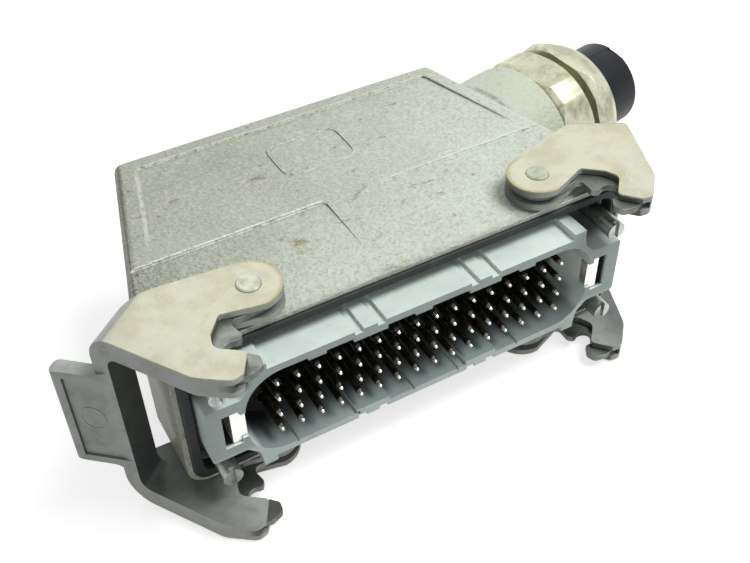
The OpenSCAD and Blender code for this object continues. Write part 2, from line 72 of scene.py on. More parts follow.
# A CAD node's edge is rounded past the first angle, by this many faces, and a swept piece's
# edge stays sharp past the second.
NODE_SHARP_ANGLE = math.radians(32)
ROUNDING_STEPS = 2
SWEPT_SHARP_ANGLE = math.radians(50)

Colour = tuple[float, float, float]
Point = tuple[float, float, float]
Span = tuple[float, float]
Socket = bpy.types.NodeSocket


# ------------------------------------------------------------------ helpers


def linear(red: float, green: float, blue: float) -> tuple[float, float, float, float]:
    """Turn an 8-bit display colour into the linear colour that a shader takes.

    The standard display curve is a straight line near black, and a power above it.

    Args:
        red: Red from 0 to 255.
        green: Green from 0 to 255.
        blue: Blue from 0 to 255.

    Returns:
        Linear red, green and blue with an alpha of 1.
    """
    share = np.array([red, green, blue]) / 255.0
    low = share / 12.92
    high = ((share + 0.055) / 1.055) ** 2.4
    return (*(float(value) for value in np.where(share <= 0.04045, low, high)), 1.0)


class Side(Enum):
    """An end of the hood; the value is the sign of X there."""

    LEFT = -1
    RIGHT = 1


@dataclass(frozen=True)
class Coat:
    """A tint that lies over a finish, and the share of it that shows where it is thickest."""

    tint: Colour
    strength: float


@dataclass(frozen=True)
class Noise:
    """A cloudy pattern: a cloud's size in metres, its finer layers and their strength."""

    size: float
    layers: float = 3.0
    rough: float = 0.55


@dataclass(frozen=True)
class Clouds(Noise):
    """Noise that is cut to 0 below its low level and to 1 above its high one."""

    low: float = 0.4
    high: float = 0.7


class Graph:
    """A node tree under construction, in which every pattern reads Object coordinates."""

    def __init__(self, owner: Union[bpy.types.Material, bpy.types.World]) -> None:
        """Start with an empty tree.

        Args:
            owner: The material or world that the tree belongs to.
        """
        self.owner = owner
        owner.use_nodes = True
        self.tree = owner.node_tree
        self.tree.nodes.clear()

    @cached_property
    def position(self) -> Socket:
        """Object coordinates."""
        return self.node("ShaderNodeTexCoord").outputs["Object"]

    def node(self, kind: str, **settings: object) -> bpy.types.Node:
        """Add a node.

        Args:
            kind: Blender's name of the node type.
            **settings: Properties of the node.

        Returns:
            The new node.
        """
        made = self.tree.nodes.new(kind)
        for key, value in settings.items():
            setattr(made, key, value)
        return made

    def feed(self, socket: Socket, value: object) -> None:
        """Give a socket a constant, or link another socket to it.

        Args:
            socket: The input.
            value: A number, a colour or an output socket.
        """
        if isinstance(value, bpy.types.NodeSocket):
            self.tree.links.new(value, socket)
        else:
            socket.default_value = value

    def stretched(self, scale: Point) -> Socket:
        """Object coordinates, stretched.

        Args:
            scale: Scale along each axis.

        Returns:
            The mapped coordinates.
        """
        mapping = self.node("ShaderNodeMapping")
        self.feed(mapping.inputs["Vector"], self.position)
        mapping.inputs["Scale"].default_value = scale
        return mapping.outputs["Vector"]

    def noise(self, pattern: Noise, vector: Optional[Socket] = None) -> Socket:
        """Cloudy noise.

        Args:
            pattern: Its size and layers.
            vector: Coordinates, or None for plain Object coordinates.

        Returns:
            The noise, from 0 to 1 about 0.5.
        """
        made = self.node("ShaderNodeTexNoise")
        self.feed(made.inputs["Vector"], vector or self.position)
        made.inputs["Scale"].default_value = 1.0 / pattern.size
        made.inputs["Detail"].default_value = pattern.layers
        made.inputs["Roughness"].default_value = pattern.rough
        return made.outputs["Fac"]

    def clouds(self, pattern: Clouds, vector: Optional[Socket] = None) -> Socket:
        """Noise cut between two levels.

        Args:
            pattern: Its size, layers and levels.
            vector: Coordinates, or None for plain Object coordinates.

        Returns:
            0 between the clouds and 1 in them.
        """
        return self.step(self.noise(pattern, vector), pattern.low, pattern.high)

    def flecks(self, apart: float, edge: Span) -> Socket:
        """Round flecks at scattered points.

        Args:
            apart: Mean distance between the flecks, in metres.
            edge: Where a fleck starts and where it is full, in shares of that distance.

        Returns:
            1 in the flecks, and 0 between them.
        """
        made = self.node("ShaderNodeTexVoronoi", feature="F1")
        self.feed(made.inputs["Vector"], self.position)
        made.inputs["Scale"].default_value = 1.0 / apart
        return self.step(made.outputs["Distance"], *edge)

    def ramp(self, value: object, inputs: Span, results: Span, kind: str = "LINEAR") -> Socket:
        """Map one span onto another, and hold the ends.

        Args:
            value: The input.
            inputs: The span of the input, the smaller end first.
            results: The results at its two ends.
            kind: Blender's name of the interpolation.

        Returns:
            The mapped value.
        """
        made = self.node("ShaderNodeMapRange", interpolation_type=kind)
        self.feed(made.inputs["Value"], value)
        names = ("From Min", "From Max", "To Min", "To Max")
        for name, level in zip(names, (*inputs, *results)):
            made.inputs[name].default_value = level
        return made.outputs["Result"]

    def step(self, value: object, low: float, high: float) -> Socket:
        """A smooth step from 0 at low to 1 at high, or falling if low is the larger.

        Args:
            value: The input.
            low: Where the result is 0.
            high: Where the result is 1.

        Returns:
            The stepped value.
        """
        results = (1.0, 0.0) if low > high else (0.0, 1.0)
        return self.ramp(value, (min(low, high), max(low, high)), results, "SMOOTHSTEP")

    def maths(self, operation: str, first: object, second: object = 0.0) -> Socket:
        """Arithmetic on two values.

        Args:
            operation: Blender's name of the operation.
            first: The first operand.
            second: The second operand.

        Returns:
            The result.
        """
        made = self.node("ShaderNodeMath", operation=operation)
        self.feed(made.inputs[0], first)
        self.feed(made.inputs[1], second)
        return made.outputs[0]

    def times(self, *factors: object) -> Socket:
        """The product of some values."""
        return reduce(partial(self.maths, "MULTIPLY"), factors)

    def most(self, *values: object) -> Socket:
        """The largest of some values."""
        return reduce(partial(self.maths, "MAXIMUM"), values)

    def within(self, *limits: tuple[object, Span]) -> Socket:
        """The product of some smooth steps.

        Args:
            *limits: Each step's value and its span.

        Returns:
            1 where every step is 1.
        """
        return self.times(*(self.step(value, *span) for value, span in limits))

    def plus(self, first: object, second: object) -> Socket:
        """The sum of two values."""
        return self.maths("ADD", first, second)

    def less(self, first: object, second: object) -> Socket:
        """The first value less the second."""
        return self.maths("SUBTRACT", first, second)

    def unsigned(self, value: object) -> Socket:
        """A value without its sign."""
        return self.maths("ABSOLUTE", value)

    def mix(self, share: object, first: object, second: object) -> Socket:
        """Mix two colours.

        The node's colours are its inputs 6 and 7, and its mixed colour is output 2.

        Args:
            share: How much of the second.
            first: The first colour.
            second: The second colour.

        Returns:
            The mixed colour.
        """
        made = self.node("ShaderNodeMix", data_type="RGBA")
        self.feed(made.inputs[0], share)
        self.feed(made.inputs[6], first)
        self.feed(made.inputs[7], second)
        return made.outputs[2]

    def lay(self, under: object, cover: object, coat: Coat) -> Socket:
        """Lay a coat over a colour.

        Args:
            under: The colour below.
            cover: Where the coat lies, from 0 to 1.
            coat: Its tint and strength.

        Returns:
            The coated colour.
        """
        return self.mix(self.times(cover, coat.strength), under, linear(*coat.tint))

    def layered(self, under: object, layers: Sequence[tuple[object, Coat]]) -> Socket:
        """Lay some coats over a colour, one after the other.

        Args:
            under: The colour below.
            layers: Where each coat lies, from 0 to 1, and the coat.

        Returns:
            The coated colour.
        """
        for cover, coat in layers:
            under = self.lay(under, cover, coat)
        return under

    def axis(self, name: str) -> Socket:
        """One Object coordinate, X, Y or Z, in metres."""
        made = self.node("ShaderNodeSeparateXYZ")
        self.feed(made.inputs[0], self.position)
        return made.outputs[name]

    def facing(self, name: str) -> Socket:
        """One component of the surface's direction, X, Y or Z, from -1 to 1."""
        made = self.node("ShaderNodeSeparateXYZ")
        self.feed(made.inputs[0], self.node("ShaderNodeTexCoord").outputs["Normal"])
        return made.outputs[name]

    def outward(self, name: str) -> Socket:
        """How far a face looks away from the middle plane of an axis.

        It is the component of its direction times its place, so it is negative on a face
        that looks inward.

        Args:
            name: X, Y or Z.

        Returns:
            The product, in metres.
        """
        return self.times(self.facing(name), self.axis(name))

    def bump(
        self, height: object, depth: float, strength: float, after: Optional[Socket] = None
    ) -> Socket:
        """Relief.

        Args:
            height: Height, from 0 to 1.
            depth: Depth of the relief, in metres.
            strength: Share of the relief that shows.
            after: An earlier relief to add this one to.

        Returns:
            The bent normal.
        """
        made = self.node("ShaderNodeBump")
        self.feed(made.inputs["Height"], height)
        made.inputs["Distance"].default_value = depth
        made.inputs["Strength"].default_value = strength
        if after is not None:
            self.feed(made.inputs["Normal"], after)
        return made.outputs["Normal"]

    def finish(self, **sockets: object) -> bpy.types.Material:
        """Close a material with one principled shader.

        Args:
            **sockets: Shader inputs, with underscores for spaces.

        Returns:
            The finished material.
        """
        shader = self.node("ShaderNodeBsdfPrincipled")
        for key, value in sockets.items():
            self.feed(shader.inputs[key.replace("_", " ")], value)
        output = self.node("ShaderNodeOutputMaterial")
        self.feed(output.inputs["Surface"], shader.outputs["BSDF"])
        return self.owner


# ----------------------------------------------------------------- finishes


@dataclass(frozen=True)
class CastPaint:
    """Grey paint over a die casting, with an orange-peel skin, stains, and painted highlights and
    painted shade.
    """

    name: str = "hood_cast_paint"

    # The two paint colours, and what lies over them in this order.
    body: Colour = (197, 205, 190)
    shade: Colour = (150, 154, 138)
    neck: Coat = Coat((182, 186, 164), 0.5)
    mottle: Coat = Coat((140, 143, 128), 0.3)
    # A painted highlight on the peel's tops and painted shade in its pits.
    peel_top_highlight: Coat = Coat((220, 223, 210), 0.26)
    peel_pit_shade: Coat = Coat((124, 127, 114), 0.32)
    grime: Coat = Coat((118, 112, 94), 0.74)
    stain: Coat = Coat((118, 110, 70), 0.75)
    fleck: Coat = Coat((100, 88, 66), 0.6)
    # Painted shade on the faces that look to the left, on the steps that look to the left, and a
    # painted highlight on the steps that look to the front.
    left_face_shade: Coat = Coat((104, 102, 88), 0.4)
    dirt: Coat = Coat((74, 72, 60), 0.75)
    rubbed: Coat = Coat((234, 237, 225), 0.8)

    # The hood: its ends, rim and back, its two fields and the stem between them.
    half: float = 59.8 * MM
    shoulder: float = 27.0 * MM
    slope: float = 0.2586
    rim: float = 6.3 * MM
    back: float = 76.5 * MM
    stem: float = 7.5 * MM
    inset: float = 6.3 * MM
    low_back: float = 35.6 * MM
    high_back: float = 71.2 * MM
    broad_face: Span = (20.6 * MM, 20.9 * MM)
    neck_edge: Span = (-2.2 * MM, -0.8 * MM)

    # Painted shade, partly soiling, from the front right to the back left.
    drift_lean: float = 0.8
    drift_span: Span = (0.0, 92 * MM)
    painted_shade_share: float = 0.8
    cloud_share: float = 0.16
    shade_clouds: Clouds = Clouds(24 * MM, 5, 0.6, 0.36, 0.68)

    # Speckles, stains and flecks.
    mottle_clouds: Clouds = Clouds(1.5 * MM, 5, 0.7, 0.38, 0.72)
    stain_streaks: Clouds = Clouds(1.0, 5, 0.7, 0.61, 0.68)
    streak_scale: Point = (130.0, 250.0, 200.0)
    stain_places: Clouds = Clouds(22 * MM, 2, 0.5, 0.4, 0.54)
    fleck_apart: float = 9 * MM
    fleck_edge: Span = (0.075, 0.035)

    # Dirt along the outline of the broad faces, and painted shade on the faces that look to the left.
    waver: Noise = Noise(4 * MM, 4, 0.7)
    waver_reach: float = 3.2 * MM
    grime_ends: Span = (3.6 * MM, 1.3 * MM)
    grime_back: Span = (-2.6 * MM, -0.4 * MM)
    grime_front: Span = (2.0 * MM, 0.2 * MM)
    front_share: float = 0.55
    side_share: float = 0.35
    broad_tilt: Span = (0.2, 0.7)
    ragged: Clouds = Clouds(2.4 * MM, 5, 0.75, 0.3, 0.62)
    left_tilt: Span = (-0.6, -0.9)

    # Painted highlights and painted shade along the fields' steps.
    front_step_tilt: Span = (-0.12, -0.5)
    left_step_tilt: Span = (-0.15, -0.5)
    low_line: float = 0.42 * MM
    high_line: float = 0.35 * MM
    end_line: float = 0.5 * MM
    stem_edge: float = 1.2 * MM
    inset_edge: float = 0.4 * MM
    left_fade: Span = (5 * MM, -5 * MM)
    left_gain: float = 0.5
    right_share: float = 0.45
    high_share: float = 0.5
    end_share: float = 0.45
    shaded_end_share: float = 0.6
    end_side: Span = (0.0, 8 * MM)
    end_rise: float = 3 * MM
    end_half: float = 14.4 * MM
    highlight_breaks: Clouds = Clouds(1.4 * MM, 4, 0.7, 0.36, 0.5)

    # Relief and gloss.
    peel: Noise = Noise(0.9 * MM, 2, 0.5)
    peel_high: Span = (0.5, 0.7)
    peel_low: Span = (0.48, 0.3)
    peel_depth: float = 0.5 * MM
    dents: Noise = Noise(7 * MM, 2, 0.5)
    dent_depth: float = 0.2 * MM
    dent_share: float = 0.35
    rough: float = 0.36
    cloud_rough: float = 0.12
    gloss: float = 0.38

    def inward(self, g: Graph) -> Socket:
        """Distance from the nearer end, along X.

        The end's line at a height y is half - max(y - shoulder, 0) * slope.

        Args:
            g: The material under construction.

        Returns:
            The distance, in metres.
        """
        over = g.most(g.less(g.axis("Y"), self.shoulder), 0.0)
        line = g.less(self.half, g.times(over, self.slope))
        return g.less(line, g.unsigned(g.axis("X")))

    def band(self, g: Graph, value: object, middle: float, half: float) -> Socket:
        """A narrow band round one value, which fades between 0.7 and 1.3 of its half width.

        Args:
            g: The material under construction.
            value: The value.
            middle: The value in the band's middle.
            half: Half the band's width.

        Returns:
            1 in the band, and 0 outside it.
        """
        return g.step(g.unsigned(g.less(value, middle)), half * 1.3, half * 0.7)

    def on_box(self, g: Graph) -> Socket:
        """1 on the hood's box, and 0 on its smooth outlet neck."""
        return g.step(self.inward(g), *self.neck_edge)

    def on_broad_face(self, g: Graph) -> Socket:
        """1 on the raised fields of the broad faces, and 0 below them."""
        return g.step(g.unsigned(g.axis("Z")), *self.broad_face)

    def edge_grime(self, g: Graph) -> Socket:
        """Dirt that collects along the outline of the broad faces.

        Args:
            g: The material under construction.

        Returns:
            How much dirt there is, from 0 to 1.
        """
        inward = g.plus(self.inward(g), g.times(g.noise(self.waver), self.waver_reach))
        ends = g.times(g.step(inward, *self.grime_ends), self.on_box(g))
        back = g.step(g.axis("Y"), *(self.back + edge for edge in self.grime_back))
        front = g.step(g.axis("Y"), *(self.rim + edge for edge in self.grime_front))
        edges = g.most(ends, back, g.times(front, self.front_share))
        broad = g.step(g.unsigned(g.facing("Z")), *self.broad_tilt)
        return g.times(edges, g.plus(g.times(broad, 1.0 - self.side_share), self.side_share))

    def field_end(self, g: Graph, side: Side) -> Socket:
        """The end line of the back field on one side.

        Args:
            g: The material under construction.
            side: The end of the hood.

        Returns:
            1 along the line, and 0 elsewhere.
        """
        near = g.step(g.times(g.axis("X"), float(side.value)), *self.end_side)
        middle = (self.low_back + self.high_back) / 2 + self.end_rise
        run = self.band(g, g.axis("Y"), middle, self.end_half)
        return g.times(near, run, self.band(g, self.inward(g), self.inset, self.end_line))

    def step_highlights(self, g: Graph) -> Socket:
        """Painted highlights on the fields' front-facing steps and along their left ends.

        Args:
            g: The material under construction.

        Returns:
            How pale they are, from 0 to 1.
        """
        steps = g.step(g.facing("Y"), *self.front_step_tilt)
        beside_stem = g.step(g.unsigned(g.axis("X")), self.stem, self.stem + self.stem_edge)
        low = g.times(self.band(g, g.axis("Y"), self.low_back, self.low_line), beside_stem)
        left = g.plus(g.times(g.step(g.axis("X"), *self.left_fade), self.left_gain), self.right_share)
        high = self.band(g, g.axis("Y"), self.high_back, self.high_line)
        within = g.step(self.inward(g), self.inset, self.inset + self.inset_edge)
        lines = g.most(g.times(low, left), g.times(high, g.times(within, self.high_share)))
        lines = g.most(lines, g.times(self.field_end(g, Side.LEFT), self.end_share))
        return g.times(g.most(steps, lines), self.on_broad_face(g), g.clouds(self.highlight_breaks))

    def step_shade(self, g: Graph) -> Socket:
        """Painted shade on the steps that look to the left, and along the back field's right end.

        Args:
            g: The material under construction.

        Returns:
            How dark the painted shade is, from 0 to 1.
        """
        steps = g.step(g.facing("X"), *self.left_step_tilt)
        end = g.times(self.field_end(g, Side.RIGHT), self.shaded_end_share)
        return g.times(g.most(steps, end), self.on_broad_face(g))

    def paint(self, g: Graph, clouds: Socket) -> Socket:
        """The two paint colours, mixed by a painted shade that is partly soiling, which grows with Y
        - lean * X.

        Args:
            g: The material under construction.
            clouds: Cloudy unevenness, from 0 to 1.

        Returns:
            The colour.
        """
        # Painted shade, partly soiling: darker towards the back left.
        drift = g.less(g.axis("Y"), g.times(g.axis("X"), self.drift_lean))
        veil = g.times(g.step(drift, *self.drift_span), self.painted_shade_share)
        share = g.plus(veil, g.times(clouds, self.cloud_share))
        return g.mix(share, linear(*self.body), linear(*self.shade))

    def material(self) -> bpy.types.Material:
        """Build the material.

        Returns:
            The material.
        """
        g = Graph(bpy.data.materials.new(self.name))
        clouds = g.clouds(self.shade_clouds)
        pebbles = g.noise(self.peel)
        box = self.on_box(g)
        streaks = g.clouds(self.stain_streaks, g.stretched(self.streak_scale))
        layers = (
            (g.less(1.0, box), self.neck),
            (g.times(g.clouds(self.mottle_clouds), box), self.mottle),
            # Painted highlight on the peel's tops and painted shade in its pits.
            (g.times(g.step(pebbles, *self.peel_high), box), self.peel_top_highlight),
            (g.times(g.step(pebbles, *self.peel_low), box), self.peel_pit_shade),
            (g.times(self.edge_grime(g), g.clouds(self.ragged)), self.grime),
            (g.times(streaks, g.clouds(self.stain_places)), self.stain),
            (g.flecks(self.fleck_apart, self.fleck_edge), self.fleck),
            # Painted shade on the faces that look to the left.
            (g.step(g.facing("X"), *self.left_tilt), self.left_face_shade),
            # Painted shade on the steps that look to the left.
            (self.step_shade(g), self.dirt),
            # A painted highlight on the steps that look to the front.
            (self.step_highlights(g), self.rubbed),
        )
        colour = g.layered(self.paint(g, clouds), layers)
        peel = g.bump(pebbles, self.peel_depth, 1.0)
        dents = g.bump(g.noise(self.dents), self.dent_depth, self.dent_share, peel)
        rough = g.plus(g.times(clouds, self.cloud_rough), self.rough)
        return g.finish(
            Base_Color=colour, Roughness=rough, Normal=dents, Specular_IOR_Level=self.gloss
        )


@dataclass(frozen=True)
class LeverPaint:
    """Cream on the levers' outer faces over a grey casting, rubbed and soiled, with painted shade on
    the inward faces and in the arms' slots.
    """

    name: str = "lever_cast_paint"

    # Cream with what lies over it, in this order.
    cream: Colour = (203, 203, 179)
    cream_patch: Colour = (186, 184, 157)
    rubbed: Coat = Coat((205, 206, 196), 0.6)
    tan: Coat = Coat((176, 172, 148), 0.4)
    worn: Coat = Coat((150, 140, 108), 0.3)
    worn_end: Coat = Coat((160, 150, 102), 0.75)
    chip: Coat = Coat((150, 142, 112), 0.6)

    # Grey with what lies over it, in this order.
    grey: Colour = (160, 165, 158)
    grey_patch: Colour = (134, 139, 133)
    scuff: Coat = Coat((176, 178, 168), 0.3)
    # Painted shade on the faces that look inward, and in the slot between an arm's two layers.
    painted_recess_shade: Coat = Coat((26, 35, 37), 0.8)
    slot_shade: Coat = Coat((16, 18, 17), 0.85)

    # Flecks over both.
    fleck: Coat = Coat((96, 82, 56), 0.6)

    # Patterns.
    cream_clouds: Clouds = Clouds(8 * MM, 5, 0.65, 0.4, 0.68)
    rubbed_clouds: Clouds = Clouds(13 * MM, 5, 0.7, 0.56, 0.66)
    worn_clouds: Clouds = Clouds(1.2 * MM, 4, 0.7, 0.6, 0.72)
    chip_clouds: Clouds = Clouds(1.8 * MM, 4, 0.7, 0.4, 0.56)
    grey_clouds: Clouds = Clouds(5 * MM, 5, 0.65, 0.4, 0.75)
    scuff_clouds: Clouds = Clouds(1.6 * MM, 4, 0.75, 0.6, 0.7)
    fleck_apart: float = 5 * MM
    fleck_edge: Span = (0.07, 0.03)

    # Where the cream starts, and the slot between an arm's two layers.
    outer: Span = (26.9 * MM, 27.2 * MM)
    outer_waver: Noise = Noise(2 * MM, 4, 0.7)
    outer_reach: float = 0.35 * MM
    slot_span: Span = (23.6 * MM, 25.7 * MM)
    slot_edge: float = 0.1 * MM
    slot_depth: Span = (54 * MM, 51 * MM)

    # Wear round the arms' round ends, and along the edges.
    end_waver: Noise = Noise(1.5 * MM, 4, 0.7)
    end_reach: float = 1.6 * MM
    end_rim: Span = (7.0 * MM, 8.2 * MM)
    end_limit: Span = (9.5 * MM, 8.0 * MM)
    end_fade: Span = (3 * MM, -3 * MM)
    tan_span: Span = (58 * MM, 72 * MM)
    chip_tilt: Span = (0.98, 0.8)

    # Painted shade on the faces that look inward.
    bridge_inward: Span = (-14 * MM, -34 * MM)
    arm_inward: Span = (-6 * MM, -14 * MM)
    arm_fade: Span = (45 * MM, 62 * MM)
    arm_share: float = 0.68

    # Relief and gloss.
    grain: Noise = Noise(0.6 * MM, 3, 0.6)
    grain_depth: float = 0.07 * MM
    grain_share: float = 0.7
    swell: Noise = Noise(5 * MM, 2)
    swell_depth: float = 0.16 * MM
    swell_share: float = 0.5
    rough: float = 0.42
    gloss: float = 0.4

    def round_end(self, g: Graph) -> Socket:
        """Wear round the edge of the arms' round ends.

        It starts 6 to 7 mm from the pivot, which the noise makes uneven, and fades from 8 mm
        on. The distance is the root of the summed squares of the two offsets.

        Args:
            g: The material under construction.

        Returns:
            How worn it is, from 0 to 1.
        """
        side = g.less(g.unsigned(g.axis("X")), PIVOT[0])
        up = g.less(g.axis("Y"), PIVOT[1])
        squares = g.plus(g.maths("POWER", side, 2.0), g.maths("POWER", up, 2.0))
        span = g.maths("SQRT", squares)
        ragged = g.plus(span, g.times(g.noise(self.end_waver), self.end_reach))
        return g.within((ragged, self.end_rim), (side, self.end_fade), (span, self.end_limit))

    def slot(self, g: Graph) -> Socket:
        """The slot between an arm's two layers, which is painted dark as shade.

        Args:
            g: The material under construction.

        Returns:
            1 in the slot, and 0 outside it.
        """
        height = g.unsigned(g.axis("Z"))
        (inner, outer), edge = self.slot_span, self.slot_edge
        return g.within(
            (height, (inner - edge, inner + edge)),
            (height, (outer + edge, outer - edge)),
            (g.unsigned(g.axis("X")), self.slot_depth),
        )

    def shaded_inside(self, g: Graph) -> Socket:
        """Painted shade on the faces that look at the hood, next to the bridge.

        Args:
            g: The material under construction.

        Returns:
            How dark the painted shade is, from 0 to 1.
        """
        bridge = g.step(g.outward("X"), *self.bridge_inward)
        arms = g.step(g.outward("Z"), *self.arm_inward)
        near = g.step(g.unsigned(g.axis("X")), *self.arm_fade)
        return g.most(bridge, g.times(arms, near, self.arm_share))

    def outer_face(self, g: Graph) -> Socket:
        """1 on the arms' outer faces, which are cream, and 0 on the grey rest."""
        waver = g.times(g.noise(self.outer_waver), self.outer_reach)
        return g.step(g.plus(g.unsigned(g.axis("Z")), waver), *self.outer)

    def material(self) -> bpy.types.Material:
        """Build the material.

        Returns:
            The material.
        """
        g = Graph(bpy.data.materials.new(self.name))
        edges = g.step(g.unsigned(g.facing("Z")), *self.chip_tilt)
        cream = g.mix(g.clouds(self.cream_clouds), linear(*self.cream), linear(*self.cream_patch))
        over_cream = (
            (g.clouds(self.rubbed_clouds), self.rubbed),
            (g.step(g.unsigned(g.axis("X")), *self.tan_span), self.tan),
            (g.clouds(self.worn_clouds), self.worn),
            (self.round_end(g), self.worn_end),
            (g.times(edges, g.clouds(self.chip_clouds)), self.chip),
        )
        grey = g.mix(g.clouds(self.grey_clouds), linear(*self.grey), linear(*self.grey_patch))
        over_grey = (
            (g.clouds(self.scuff_clouds), self.scuff),
            (self.shaded_inside(g), self.painted_recess_shade),
            (self.slot(g), self.slot_shade),
        )
        cream, grey = g.layered(cream, over_cream), g.layered(grey, over_grey)
        colour = g.mix(self.outer_face(g), grey, cream)
        colour = g.lay(colour, g.flecks(self.fleck_apart, self.fleck_edge), self.fleck)
        grain = g.bump(g.noise(self.grain), self.grain_depth, self.grain_share)
        swell = g.bump(g.noise(self.swell), self.swell_depth, self.swell_share, grain)
        return g.finish(
            Base_Color=colour, Roughness=self.rough, Normal=swell, Specular_IOR_Level=self.gloss
        )


@dataclass(frozen=True)
class Moulding:
    """Matt moulded plastic with fine grain, faint flow clouds and some dirt."""

    name: str
    body: Colour
    cloud: Colour
    dirt: Coat
    rough: float = 0.5
    grain_depth: float = 0.03 * MM
    gloss: float = 0.4
    body_clouds: Clouds = Clouds(12 * MM, 4, 0.6, 0.35, 0.7)
    dirt_clouds: Clouds = Clouds(3 * MM, 5, 0.75, 0.55, 0.75)
    grain: Noise = Noise(0.35 * MM, 3, 0.6)
    grain_share: float = 0.5

    def colour(self, g: Graph) -> Socket:
        """The clouded and soiled colour.

        Args:
            g: The material under construction.

        Returns:
            The colour.
        """
        colour = g.mix(g.clouds(self.body_clouds), linear(*self.body), linear(*self.cloud))
        return g.lay(colour, g.clouds(self.dirt_clouds), self.dirt)

    def material(self) -> bpy.types.Material:
        """Build the material.

        Returns:
            The material.
        """
        g = Graph(bpy.data.materials.new(self.name))
        return g.finish(
            Base_Color=self.colour(g),
            Roughness=self.rough,
            Normal=g.bump(g.noise(self.grain), self.grain_depth, self.grain_share),
            Specular_IOR_Level=self.gloss,
        )


@dataclass(frozen=True)
class InsertMoulding(Moulding):
    """The insert's moulding, whose well between the contacts is painted dark as shade, as are its
    front and inward faces.
    """

    # What lies over the moulding, in this order.
    # Painted shade: on the front faces, on the faces that look into the well, and in the well.
    front: Coat = Coat((116, 128, 126), 1.0)
    inner: Coat = Coat((84, 98, 102), 0.72)
    painted_recess_shade: Coat = Coat((12, 18, 21), 0.97)

    # The well: its half length and half height, and the depth over which it darkens.
    well_x: Span = (46.2 * MM, 43.2 * MM)
    well_z: Span = (13.0 * MM, 12.4 * MM)
    well_y: Span = (1.6 * MM, 10.4 * MM)

    # The earth windows in the ears, and the corners at the well's ends, which get painted shade.
    window_x: float = 49.9 * MM
    window_half: Span = (2.5 * MM, 2.2 * MM)
    window_z: Span = (5.6 * MM, 5.2 * MM)
    window_y: Span = (-0.2 * MM, 0.8 * MM)
    corner_x: Span = (41 * MM, 47 * MM)
    corner_y: Span = (1.5 * MM, 7 * MM)
    corner_z: Span = (5.4 * MM, 8.4 * MM)
    corner_share: float = 0.8

    # Faces that look into the well, and faces that look to the front, which both get painted shade;
    # the front faces are darker by a share above the lower wall than on it.
    wall_inward: Span = (-4 * MM, -8 * MM)
    wall_x: Span = (47.5 * MM, 46 * MM)
    front_tilt: Span = (-0.6, -0.9)
    front_z: Span = (-9 * MM, -7 * MM)
    front_share: float = 0.26
    upper_shade_share: float = 0.4

    def painted_shade_cover(self, g: Graph) -> Socket:
        """Painted shade in the well, in the earth windows and in the well's corners.

        Args:
            g: The material under construction.

        Returns:
            How much soot there is, from 0 to 1.
        """
        away, deep = g.unsigned(g.axis("X")), g.axis("Y")
        height = g.unsigned(g.axis("Z"))
        aside = g.unsigned(g.less(away, self.window_x))
        well = g.within((away, self.well_x), (height, self.well_z), (deep, self.well_y))
        window = g.within((aside, self.window_half), (height, self.window_z), (deep, self.window_y))
        corner = g.within((height, self.corner_z), (deep, self.corner_y), (away, self.corner_x))
        return g.most(well, window, g.times(corner, self.corner_share))

    def front_shade_cover(self, g: Graph) -> Socket:
        """How far the front faces are darkened by painted shade, from 0 to 1."""
        upper = g.times(g.step(g.axis("Z"), *self.front_z), self.upper_shade_share)
        return g.times(g.step(g.facing("Y"), *self.front_tilt), g.plus(upper, self.front_share))

    def colour(self, g: Graph) -> Socket:
        """The moulding's colour with its painted shade.

        Args:
            g: The material under construction.

        Returns:
            The colour.
        """
        away = g.unsigned(g.axis("X"))
        layers = (
            (self.front_shade_cover(g), self.front),
            (g.within((g.outward("Z"), self.wall_inward), (away, self.wall_x)), self.inner),
            (self.painted_shade_cover(g), self.painted_recess_shade),
        )
        return g.layered(super().colour(g), layers)


@dataclass(frozen=True)
class Metal:
    """Bare or plated metal, dulled unevenly."""

    name: str
    body: Colour
    tarnish: Colour
    rough: float
    dulling: Clouds = Clouds(4 * MM, 4, 0.65)
    skin_depth: float = 0.02 * MM
    dull_rough: float = 0.18
    skin: Noise = Noise(0.6 * MM, 3, 0.6)
    skin_share: float = 0.6

    def material(self) -> bpy.types.Material:
        """Build the material.

        Returns:
            The material.
        """
        g = Graph(bpy.data.materials.new(self.name))
        dull = g.clouds(self.dulling)
        return g.finish(
            Base_Color=g.mix(dull, linear(*self.body), linear(*self.tarnish)),
            Metallic=1.0,
            Roughness=g.plus(g.times(dull, self.dull_rough), self.rough),
            Normal=g.bump(g.noise(self.skin), self.skin_depth, self.skin_share),
        )


@dataclass(frozen=True)
class ContactPlating:
    """Contacts whose slender tips are painted bright as a highlight and whose shafts are painted dark
    as shade, with clouded tarnish.
    """

    name: str = "contact_plating"
    # The tip's colour is a painted highlight, and the shaft's two colours are painted shade with
    # tarnish between them.
    tip: Colour = (216, 215, 205)
    shaft: Colour = (88, 82, 66)
    dark: Colour = (40, 38, 32)
    shaft_clouds: Clouds = Clouds(1.6 * MM, 4, 0.6, 0.4, 0.65)
    tip_waver: Noise = Noise(0.8 * MM)
    tip_reach: float = 0.6 * MM
    tip_y: Span = (1.1 * MM, 1.9 * MM)
    rough: float = 0.2
    shaft_rough: float = 0.2

    def material(self) -> bpy.types.Material:
        """Build the material.

        Returns:
            The material.
        """
        g = Graph(bpy.data.materials.new(self.name))
        # Painted shade with clouded tarnish on the shafts, and a painted highlight on the tips.
        shaft = g.mix(g.clouds(self.shaft_clouds), linear(*self.shaft), linear(*self.dark))
        ragged = g.plus(g.axis("Y"), g.times(g.noise(self.tip_waver), self.tip_reach))
        dull = g.step(ragged, *self.tip_y)
        return g.finish(
            Base_Color=g.mix(dull, linear(*self.tip), shaft),
            Metallic=1.0,
            Roughness=g.plus(g.times(dull, self.shaft_rough), self.rough),
        )


